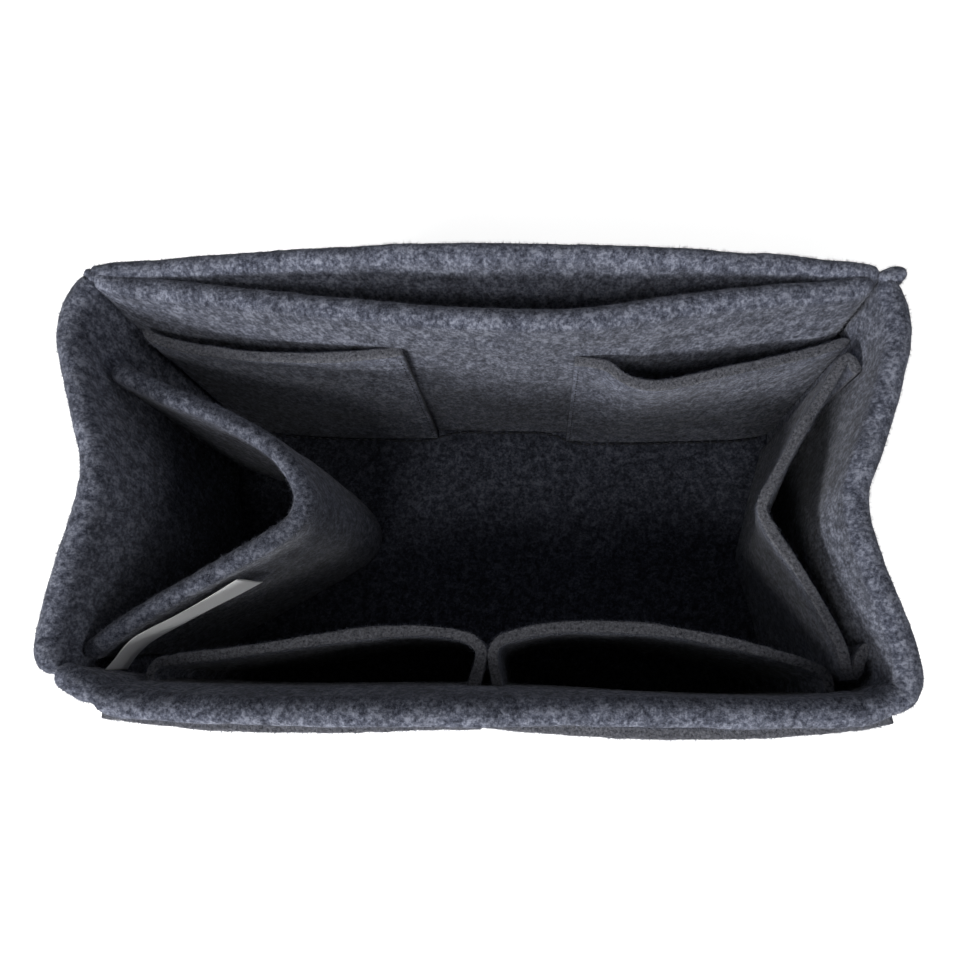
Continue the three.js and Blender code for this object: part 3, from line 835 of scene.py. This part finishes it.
class ORGANIZER_OT_dividers(bpy.types.Operator):
    """The two dividers, each folded in the middle: the left one of double felt with a round top, the right
    one of single felt with a raw cut top"""

    bl_idname = "organizer.dividers"
    bl_label = "Dividers"

    # How many columns the rear half goes on past the fold, and how much smaller it is there, in mm
    nose_columns = 4
    nose_inset = 0.35
    # Distances from the middle, in metres, between which a divider bends away from its side wall
    bend = (0.101, 0.09)

    def execute(self, context):
        left = (LEFT_DIVIDER, LEFT_DIVIDER_FOOT, LEFT_DIVIDER_FOLD, LEFT_DIVIDER_TOP)
        right = (RIGHT_DIVIDER, RIGHT_DIVIDER_FOOT, RIGHT_DIVIDER_FOLD, RIGHT_DIVIDER_TOP)
        strips = (("left", -1, *left, PLY * 0.86, True, 71), ("right", 1, *right, PLY / 2, False, 81))
        for side, way, line, foot, fold, top, half, rounded, seed in strips:
            p, cut = standing_panel(line, foot, top, half, rounded=rounded, power=1.6, ends=(0.9, 0.9),
                                    thin=(0.5, 0.5), seed=seed)
            normals = grid_normals(p)
            at = int(np.argmin(np.abs(smooth_line(line, len(p)) - np.array(fold)).sum(axis=1)))
            # The rear half's nose goes on inside the front half's, so that no gap shows at the fold. It gets
            # smaller over two columns.
            past = np.clip((np.arange(len(p)) - at) / 2, 0, 1)[:, None, None]
            nose = p - self.nose_inset * normals * past
            nose[..., 2] = np.maximum(nose[..., 2], FOOT)
            end = at + self.nose_columns
            for name, part, n in (("rear", nose[:end], normals[:end]), ("front", p[at:], normals[at:])):
                node = f"{side}_divider_{name}_half"
                pair = felt_strip(f"{node}_felt", f"{node}_fibres", part, cut, DIVIDER_FELT,
                                  seed + len(part), n)
                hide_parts(node)
                for obj in pair:
                    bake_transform(obj)
        return {"FINISHED"}


class ORGANIZER_OT_front_wall(bpy.types.Operator):
    """The front wall of double felt, whose rim leans out and whose ends turn round the corners"""

    bl_idname = "organizer.front_wall"
    bl_label = "Front wall"

    # Dents near the corners: distance along the rim and width in mm, and depth as a share of the thickness
    dents = ((12.5, 1.6, 0.3), (206.0, 2.0, 0.2))

    def execute(self, context):
        obj = panel_piece("front_wall_felt", "felt_wall", WALL_FELT, FRONT, FRONT_RIM, FRONT_FOOT, HEIGHT,
                          PLY * 1.06, power=6, ends=(3.2, 3.2), thin=(0.35, 0.2), crown=0.1, seed=91,
                          pinch=self.dents)
        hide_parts("front_wall")
        return {"FINISHED"}


class ORGANIZER_OT_front_outer_pockets(bpy.types.Operator):
    """The two slip pockets on the front wall's outer face, with raw cut mouths"""

    bl_idname = "organizer.front_outer_pockets"
    bl_label = "Front outer pockets"

    def execute(self, context):
        for side, rim, seed in (("left", LEFT_OUTER_POCKET, 101), ("right", RIGHT_OUTER_POCKET, 111)):
            foot = [(x, OUTER_POCKET_FOOT_Y) for x, _ in rim]
            obj = panel_piece(f"front_{side}_outer_pocket_felt", "felt_pocket", POCKET_FELT, FRONT, rim, foot,
                              FRONT_OUTER_TOP, PLY / 2, rounded=False, power=2.2, seed=seed, sewn=-1)
            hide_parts(f"front_{side}_outer_pocket")
        return {"FINISHED"}


class ORGANIZER_OT_front_inner_pockets(bpy.types.Operator):
    """The two bellows pockets on the front wall's inner face, with raw cut mouths"""

    bl_idname = "organizer.front_inner_pockets"
    bl_label = "Front inner pockets"

    # The plane across y, in mm, and the share of the depth that is left there when the insert is folded
    flatten = (-50.4, 0.4)

    def execute(self, context):
        for side, rim, seed in (("left", LEFT_FRONT_POCKET, 121), ("right", RIGHT_FRONT_POCKET, 131)):
            obj = panel_piece(f"front_{side}_inner_pocket_felt", "felt_pocket", FRONT_POCKET_FELT, FRONT, rim,
                              rim, FRONT_POCKET_TOP, PLY / 2, rounded=False, seed=seed, flatten=self.flatten)
            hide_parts(f"front_{side}_inner_pocket")
        return {"FINISHED"}


class ORGANIZER_OT_care_label(bpy.types.Operator):
    """The blank care label, a satin strip sewn at one short end and standing off the left divider"""

    bl_idname = "organizer.care_label"
    bl_label = "Care label"

    columns = 72
    rows = 30
    # Thickness, and how far the free end rolls to each side, in mm
    thick = 0.18
    curl = 0.15

    def execute(self, context):
        # A ruled strip between its upper and its lower line. A sine across it rolls it, more towards the free
        # end, and two shells half a thickness to each side close it.
        upper, lower = smooth_line(LABEL_UPPER, self.columns), smooth_line(LABEL_LOWER, self.columns)
        run = walked((upper + lower) / 2)
        v = np.linspace(0, 1, self.rows)
        along = np.gradient(upper, axis=0)
        along /= np.linalg.norm(along, axis=1, keepdims=True)
        out = np.stack([along[:, 1], -along[:, 0]], axis=-1)
        line = upper[:, None] * v[:, None] + lower[:, None] * (1 - v)[:, None]
        roll = self.curl * np.sin(2 * math.pi * v) * (run / run[-1])[:, None]
        z = np.broadcast_to(LABEL_TOP - LABEL_HEIGHT * (1 - v), (self.columns, self.rows))[..., None]
        face, rear = (
            np.concatenate([line + out[:, None] * (roll + side * self.thick)[..., None], z], axis=-1)
            for side in (0.5, -0.5)
        )
        p = np.concatenate([face, rear[:, ::-1]], axis=1)
        faces, _ = panel_faces(self.columns, 2 * self.rows)
        obj = piece("care_label_satin", p.reshape(-1, 3), faces, SATIN)
        # The weave's map is in mm: the length along the label and the height up it.
        lengths = np.repeat(run, 2 * self.rows)
        heights = np.tile(np.r_[v, v[::-1]] * LABEL_HEIGHT, self.columns)
        index = np.zeros(len(obj.data.loops), np.int32)
        obj.data.loops.foreach_get("vertex_index", index)
        weave = np.stack([lengths, heights], axis=-1)[index].astype(np.float32)
        obj.data.uv_layers.new(name="weave").data.foreach_set("uv", weave.ravel())
        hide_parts("care_label")
        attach(obj, "care_label")
        return {"FINISHED"}


class ORGANIZER_OT_stage(bpy.types.Operator):
    """A plain pale floor, soft studio lamps and the camera at the photograph's view"""

    bl_idname = "organizer.stage"
    bl_label = "Stage"

    # The camera's place in mm, and its right, up and back directions in the frame
    camera_place = (16.8, -48.8, 376.1)
    camera_axes = (
        (0.998276, 0.023421, -0.053817),
        (-0.012255, 0.979898, 0.199124),
        (0.057399, -0.198121, 0.978496),
    )
    # Each lamp's name, place, width and height, in metres, and the point that all are turned to
    lamp_plan = (
        ("key", (-0.62, -0.88, 0.65), 0.7, 0.24),
        ("fill", (0.95, -0.3, 0.82), 0.6, 0.3),
        ("high", (-0.25, -0.6, 1.22), 0.5, 0.25),
    )
    lamp_aim = (0, 0, 0.1)
    # The floor's half width and its place below the base, in metres
    floor_reach = 4.0
    floor_level = -0.0005
    # Between which heights of the sky the soft light fades upwards, and between which shares of the way back
    fade_up = (0.3, 0.72)
    fade_back = (-0.2, 0.6)

    def execute(self, context):
        scene = context.scene
        stage = scene.organizer_stage
        self.camera(scene, stage)
        self.lamps(scene, stage)
        self.floor(scene, stage)
        self.sky(scene, stage)
        scene.view_settings.view_transform = "Standard"
        return {"FINISHED"}

    def camera(self, scene, stage):
        data = bpy.data.cameras.new("camera")
        data.lens = stage.lens
        data.sensor_width = 36.0
        data.clip_start = 0.01
        obj = bpy.data.objects.new("camera", data)
        turned = Matrix([Vector(axis) for axis in self.camera_axes]).transposed().to_4x4()
        obj.matrix_world = Matrix.Translation(Vector(self.camera_place) * MM) @ turned
        scene.collection.objects.link(obj)
        scene.camera = obj

    def lamps(self, scene, stage):
        for name, place, width, height in self.lamp_plan:
            data = bpy.data.lights.new(f"{name}_lamp", "AREA")
            data.energy = getattr(stage, name)
            data.shape = "RECTANGLE"
            data.size, data.size_y = width, height
            obj = bpy.data.objects.new(f"{name}_lamp", data)
            obj.location = place
            obj.rotation_euler = (Vector(self.lamp_aim) - Vector(place)).to_track_quat("-Z", "Y").to_euler()
            scene.collection.objects.link(obj)

    def floor(self, scene, stage):
        corners = [(x * self.floor_reach, y * self.floor_reach, self.floor_level)
                   for x, y in ((-1, -1), (1, -1), (1, 1), (-1, 1))]
        mesh = bpy.data.meshes.new("floor")
        mesh.from_pydata(corners, [], [(0, 1, 2, 3)])
        mesh.materials.append(new_material("matt_white_floor", white_floor))
        obj = bpy.data.objects.new("floor", mesh)
        scene.collection.objects.link(obj)

    def sky(self, scene, stage):
        world = bpy.data.worlds.new("studio")
        scene.world = world
        world.use_nodes = True
        tree = world.node_tree
        tree.nodes.clear()
        # The camera, glossy and transmitted rays see plain white.
        path = add_node(tree, "ShaderNodeLightPath")
        added = {"operation": "ADD", "use_clamp": True}
        seen = add_node(tree, "ShaderNodeMath", added, i_0=path.outputs["Is Camera Ray"],
                        i_1=path.outputs["Is Glossy Ray"])
        seen = add_node(tree, "ShaderNodeMath", added, i_0=seen.outputs[0],
                        i_1=path.outputs["Is Transmission Ray"])
        # Soft light comes from low all round, as from white walls, and less from overhead and from behind.
        way = add_node(tree, "ShaderNodeTexCoord").outputs["Generated"]
        split = add_node(tree, "ShaderNodeSeparateXYZ", i_0=way)
        smooth = {"interpolation_type": "SMOOTHSTEP"}
        ring = add_node(tree, "ShaderNodeMapRange", smooth, Value=split.outputs[2], From_Min=self.fade_up[0],
                        From_Max=self.fade_up[1], To_Min=stage.ring, To_Max=stage.ring * stage.zenith)
        behind = add_node(tree, "ShaderNodeMapRange", smooth, Value=split.outputs[1],
                          From_Min=self.fade_back[0], From_Max=self.fade_back[1], To_Min=1.0,
                          To_Max=stage.rear)
        level = add_node(tree, "ShaderNodeMath", {"operation": "MULTIPLY"}, i_0=ring.outputs[0],
                         i_1=behind.outputs[0])
        light = add_node(tree, "ShaderNodeBackground", Color=(1, 1, 1, 1), Strength=level.outputs[0])
        white = add_node(tree, "ShaderNodeBackground", Color=(1, 1, 1, 1), Strength=1.0)
        mixed = add_node(tree, "ShaderNodeMixShader", i_0=seen.outputs[0], i_1=light.outputs[0],
                         i_2=white.outputs[0])
        add_node(tree, "ShaderNodeOutputWorld", Surface=mixed.outputs[0])


class ORGANIZER_PT_panel(bpy.types.Panel):
    """Lists the pieces in the sidebar of the 3D view"""

    bl_idname = "ORGANIZER_PT_panel"
    bl_label = "Organizer"
    bl_space_type = "VIEW_3D"
    bl_region_type = "UI"
    bl_category = "Organizer"

    def draw(self, context):
        layout = self.layout
        for operator in OPERATORS:
            layout.operator(operator.bl_idname)
        for settings in (context.scene.organizer_felt, context.scene.organizer_stage):
            box = layout.box()
            for name in settings.__annotations__:
                box.prop(settings, name)


OPERATORS = (
    ORGANIZER_OT_stage,
    ORGANIZER_OT_base,
    ORGANIZER_OT_rear_wall,
    ORGANIZER_OT_rear_inner_pockets,
    ORGANIZER_OT_side_walls,
    ORGANIZER_OT_dividers,
    ORGANIZER_OT_front_wall,
    ORGANIZER_OT_front_outer_pockets,
    ORGANIZER_OT_front_inner_pockets,
    ORGANIZER_OT_care_label,
)
CLASSES = (FeltSettings, StageSettings, *OPERATORS, ORGANIZER_PT_panel)


def register():
    for cls in CLASSES:
        bpy.utils.register_class(cls)
    bpy.types.Scene.organizer_felt = PointerProperty(type=FeltSettings)
    bpy.types.Scene.organizer_stage = PointerProperty(type=StageSettings)


def unregister():
    del bpy.types.Scene.organizer_stage
    del bpy.types.Scene.organizer_felt
    for cls in reversed(CLASSES):
        bpy.utils.unregister_class(cls)


def main():
    register()
    for operator in OPERATORS:
        group, name = operator.bl_idname.split(".")
        getattr(getattr(bpy.ops, group), name)()


if __name__ == "__main__":
    main()
